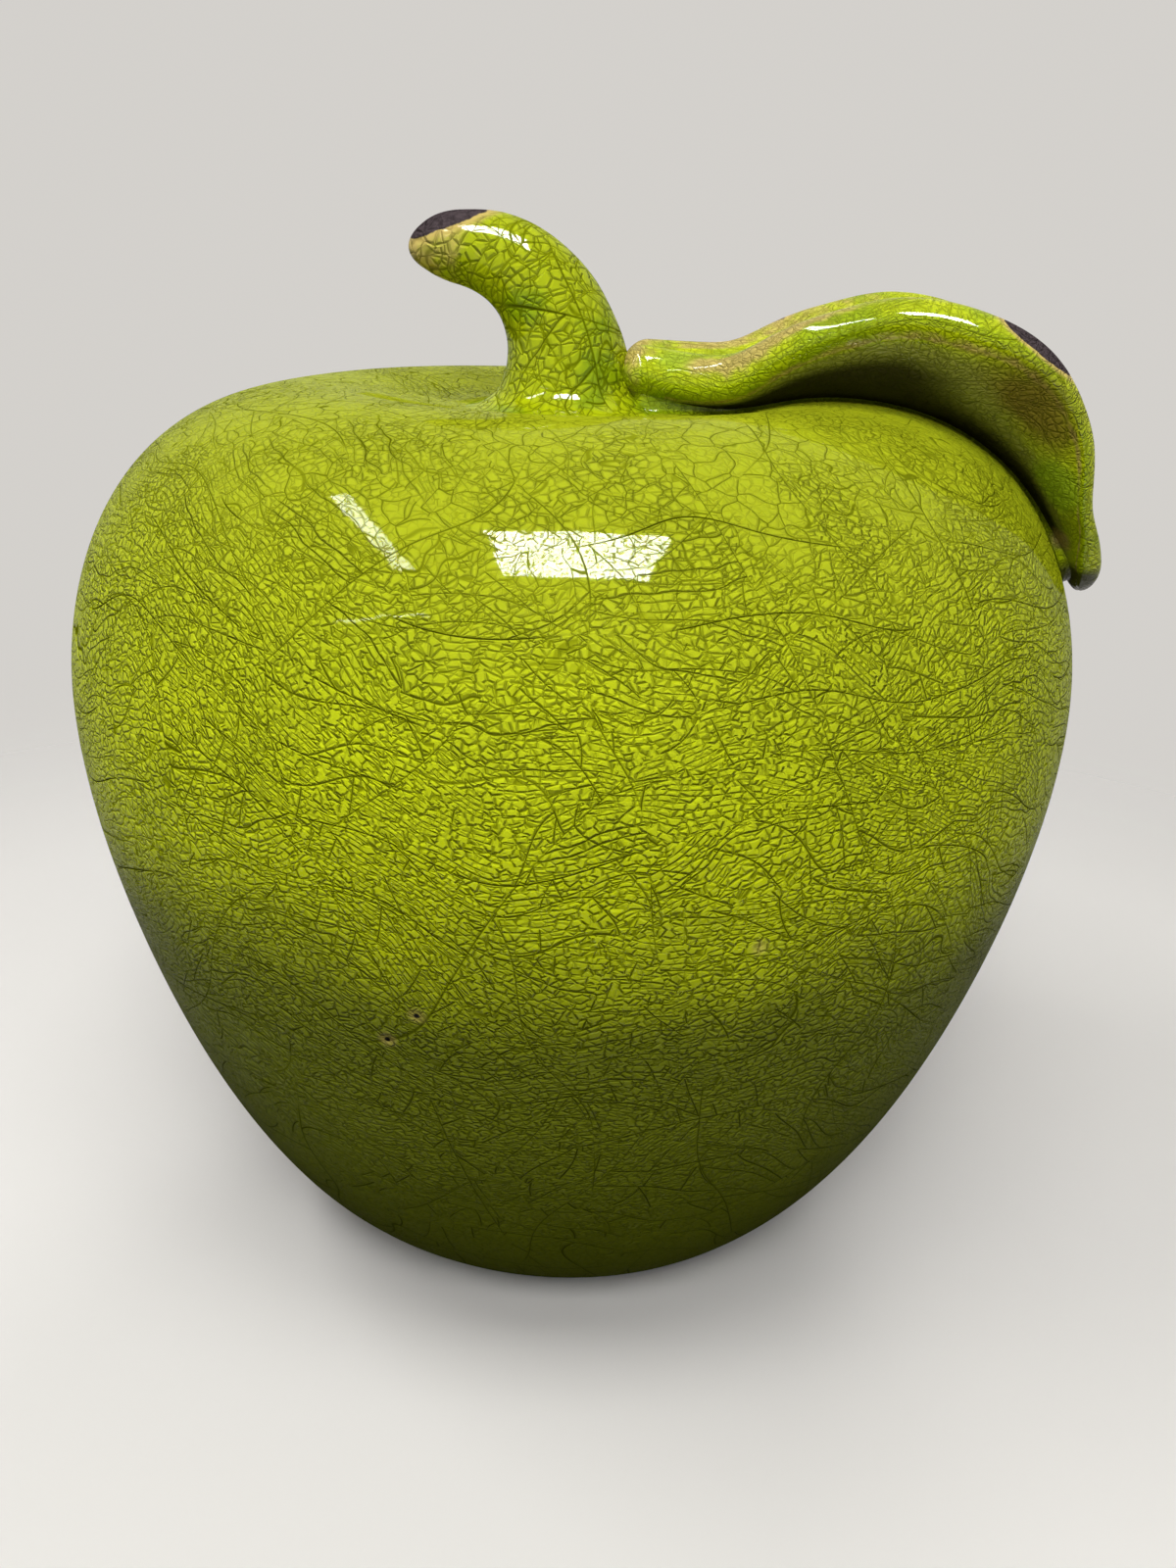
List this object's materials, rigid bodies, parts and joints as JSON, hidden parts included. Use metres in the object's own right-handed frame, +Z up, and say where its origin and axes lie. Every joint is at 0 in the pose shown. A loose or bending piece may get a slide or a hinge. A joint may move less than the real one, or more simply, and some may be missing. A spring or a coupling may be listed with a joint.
{
  "type": "ceramic apple ornament",
  "caption": "Large glazed ceramic apple ornament: hollow body with a dimpled top, bent stem and a cupped leaf draped over one shoulder, on a flat foot with felt pads",
  "frame": {"origin": "under the middle of the apple's turned body, on the plane that its felt pads stand on", "axes": "+Z is up along the body's axis, -Y is the front that the picture shows, +X is to the right, where the leaf drapes over the shoulder"},
  "size_m": [0.234, 0.23, 0.2438],
  "materials": {
    "body_glaze": "gloss",
    "stem_glaze": "gloss",
    "leaf_glaze": "gloss",
    "slip_glaze": "gloss",
    "felt": "matte"
  },
  "bodies": {
    "root": {"apple_body": "body_glaze", "stem": "stem_glaze", "stem_luting_coil": "slip_glaze", "leaf": "leaf_glaze", "leaf_stalk_luting": "slip_glaze", "leaf_tip_luting": "slip_glaze", "felt_pad_1": "felt", "felt_pad_2": "felt", "felt_pad_3": "felt", "felt_pad_4": "felt"}
  },
  "joints": []
}
